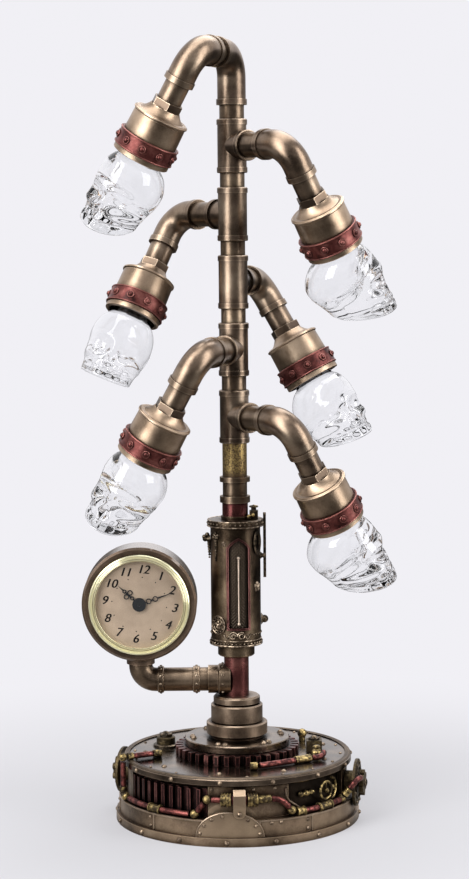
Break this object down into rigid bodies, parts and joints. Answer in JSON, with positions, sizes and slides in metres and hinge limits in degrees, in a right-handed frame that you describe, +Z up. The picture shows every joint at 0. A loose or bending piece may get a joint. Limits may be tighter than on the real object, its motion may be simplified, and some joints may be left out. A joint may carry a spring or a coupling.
{
  "type": "table lamp",
  "caption": "Table lamp of pipe fittings on a round riveted base, with a clock on a side pipe and glass skull shades on swivel elbows.",
  "frame": {"origin": "on the axis of the column at the underside of the base", "axes": "+Z up the column, -Y to the front where the clock faces, +X to the viewer's right"},
  "size_m": [0.2198, 0.1735, 0.5441],
  "materials": {
    "antique_brass": "antique brass finish, rubbed bright on the edges",
    "dark_brass": "dark bronze finish",
    "burnished_plate": "burnished bronze",
    "yellow_brass": "yellow brass with dark patina",
    "polished_brass": "polished pale brass",
    "red_copper": "red copper paint with dark wear",
    "dark_red_metal": "dark red-brown",
    "dark_drum": "dark brown casting",
    "cast_weight": "cast, black",
    "zinc_steel": "zinc plated",
    "black_metal": "black",
    "dial_card": "aged cream card on the movement",
    "black_plastic": "black moulding",
    "white_plastic": "white moulding",
    "clear_glass": "clear and flat",
    "skull_glass": "clear, moulded"
  },
  "bodies": {
    "lamp_frame": {"base_plate": "cast_weight", "base_skirt": "antique_brass", "base_core": "dark_drum", "base_panels": "antique_brass", "led_driver": "black_plastic", "base_top_plate": "burnished_plate", "base_fasteners": "yellow_brass", "base_gears": "dark_red_metal", "gear_cover": "burnished_plate", "stem": "zinc_steel", "foot_rings": "antique_brass", "red_pipes": "red_copper", "canister": "antique_brass", "canister_frame": "red_copper", "canister_fittings": "yellow_brass", "column_nipples": "dark_brass", "gold_sleeve": "yellow_brass", "column_fittings": "antique_brass", "clock_pipe": "antique_brass", "clock_case": "antique_brass", "clock_bezel": "polished_brass", "clock_dial": "dial_card", "clock_glass": "clear_glass", "pipework_tubes": "red_copper", "base_valves": "yellow_brass", "cord_gland": "black_plastic", "switch_body": "black_plastic"},
    "hour_hand": {"clock_hour_hand": "black_metal"},
    "minute_hand": {"clock_minute_hand": "black_metal"},
    "button": {"switch_button": "black_plastic"},
    "arm_1": {"arm_1_pipes": "antique_brass", "arm_1_cup": "antique_brass", "arm_1_band": "red_copper", "arm_1_lampholder": "white_plastic", "arm_1_skull": "skull_glass"},
    "arm_2": {"arm_2_pipes": "antique_brass", "arm_2_cup": "antique_brass", "arm_2_band": "red_copper", "arm_2_lampholder": "white_plastic", "arm_2_skull": "skull_glass"},
    "arm_3": {"arm_3_pipes": "antique_brass", "arm_3_cup": "antique_brass", "arm_3_band": "red_copper", "arm_3_lampholder": "white_plastic", "arm_3_skull": "skull_glass"},
    "arm_4": {"arm_4_pipes": "antique_brass", "arm_4_cup": "antique_brass", "arm_4_band": "red_copper", "arm_4_lampholder": "white_plastic", "arm_4_skull": "skull_glass"},
    "arm_5": {"arm_5_pipes": "antique_brass", "arm_5_cup": "antique_brass", "arm_5_band": "red_copper", "arm_5_lampholder": "white_plastic", "arm_5_skull": "skull_glass"},
    "arm_6": {"arm_6_pipes": "antique_brass", "arm_6_cup": "antique_brass", "arm_6_band": "red_copper", "arm_6_lampholder": "white_plastic", "arm_6_skull": "skull_glass"}
  },
  "joints": [
    {"name": "arm_1_swivel", "type": "hinge", "parent": "lamp_frame", "child": "arm_1", "pos_m": [0, 0, 0.5335], "axis": [0.3746, 0.9272, 0], "range_deg": [-30, 30]},
    {"name": "arm_2_swivel", "type": "hinge", "parent": "lamp_frame", "child": "arm_2", "pos_m": [0, 0, 0.4709], "axis": [0.5878, -0.809, 0], "range_deg": [-30, 30]},
    {"name": "arm_3_swivel", "type": "hinge", "parent": "lamp_frame", "child": "arm_3", "pos_m": [0, 0, 0.4241], "axis": [-0.6428, 0.766, 0], "range_deg": [-30, 30]},
    {"name": "arm_4_swivel", "type": "hinge", "parent": "lamp_frame", "child": "arm_4", "pos_m": [0, 0, 0.3773], "axis": [-0.2756, -0.9613, 0], "range_deg": [-30, 30]},
    {"name": "arm_5_swivel", "type": "hinge", "parent": "lamp_frame", "child": "arm_5", "pos_m": [0, 0, 0.3305], "axis": [0.3746, 0.9272, 0], "range_deg": [-30, 30]},
    {"name": "arm_6_swivel", "type": "hinge", "parent": "lamp_frame", "child": "arm_6", "pos_m": [0, 0, 0.2837], "axis": [0.5878, -0.809, 0], "range_deg": [-30, 30]},
    {"name": "minute_hand_turn", "type": "hinge", "parent": "lamp_frame", "child": "minute_hand", "pos_m": [-0.0675, 0, 0.1536], "axis": [0, 1, 0], "continuous": true},
    {"name": "hour_hand_turn", "type": "hinge", "parent": "lamp_frame", "child": "hour_hand", "pos_m": [-0.0675, 0, 0.1536], "axis": [0, 1, 0], "continuous": true},
    {"name": "button_push", "type": "slide", "parent": "lamp_frame", "child": "button", "axis": [-0.3746, 0.9272, 0], "range_m": [-0.0015, 0], "stiffness_N_per_m": 500, "springref_m": 0.0005}
  ],
  "couplings": [
    {"joint": "hour_hand_turn", "follows": "minute_hand_turn", "ratio": 0.083333}
  ]
}
